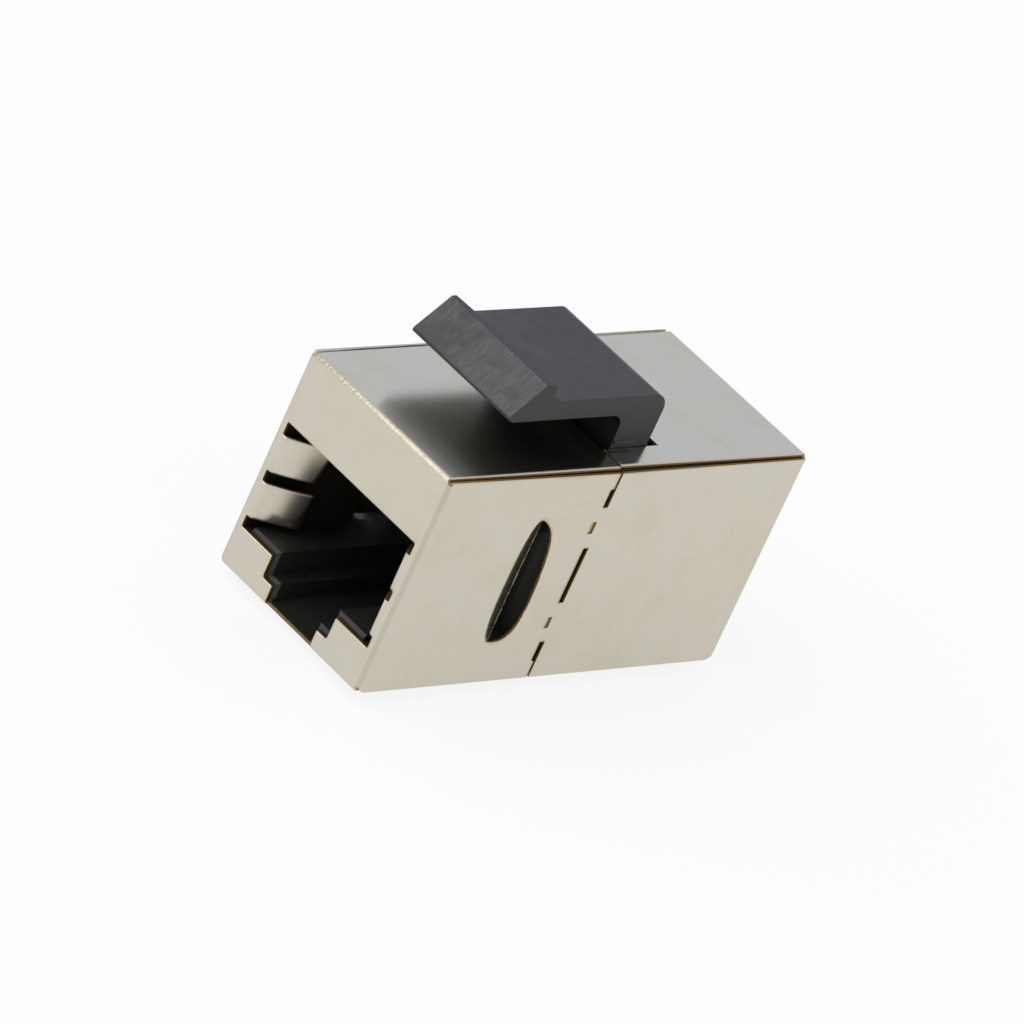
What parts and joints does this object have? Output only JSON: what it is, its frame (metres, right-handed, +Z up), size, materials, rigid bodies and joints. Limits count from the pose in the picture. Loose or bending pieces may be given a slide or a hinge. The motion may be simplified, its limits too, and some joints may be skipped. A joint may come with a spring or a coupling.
{
  "type": "network socket inline coupler",
  "caption": "Shielded straight-through network coupler with a plug socket at each end and a sprung latch that snaps it into a keystone panel.",
  "frame": {"origin": "under the middle of the part, at the level of the lowest point, which is the catch under the body", "axes": "+Z up, towards the latch; -Y out of the front port; +X towards the side wall with the perforated hinge line"},
  "size_m": [0.0146, 0.0326, 0.0224],
  "materials": {
    "nickel_plated_sheet": "satin nickel plate on folded brass sheet",
    "black_housing_plastic": "moulded, fine matt",
    "dark_carrier_plastic": "moulded, matt",
    "black_latch_plastic": "moulded, faintly satin",
    "gold_contact": "gold-plated spring wire",
    "green_board": "glass-epoxy board with green solder mask"
  },
  "bodies": {
    "coupler_body": {"shield_shell": "nickel_plated_sheet", "front_jack_housing": "black_housing_plastic", "rear_jack_housing": "black_housing_plastic", "centre_frame": "black_housing_plastic", "circuit_board": "green_board", "front_contact_carrier": "dark_carrier_plastic", "rear_contact_carrier": "dark_carrier_plastic", "front_contact_1": "gold_contact", "front_contact_2": "gold_contact", "front_contact_3": "gold_contact", "front_contact_4": "gold_contact", "front_contact_5": "gold_contact", "front_contact_6": "gold_contact", "front_contact_7": "gold_contact", "front_contact_8": "gold_contact", "rear_contact_1": "gold_contact", "rear_contact_2": "gold_contact", "rear_contact_3": "gold_contact", "rear_contact_4": "gold_contact", "rear_contact_5": "gold_contact", "rear_contact_6": "gold_contact", "rear_contact_7": "gold_contact", "rear_contact_8": "gold_contact"},
    "latch": {"keystone_latch": "black_latch_plastic"}
  },
  "joints": [
    {"name": "latch_press", "type": "hinge", "parent": "coupler_body", "child": "latch", "pos_m": [0, 0.00145, 0.0158], "axis": [1, 0, 0], "range_deg": [0, 9], "stiffness_Nm_per_rad": 0.25}
  ]
}
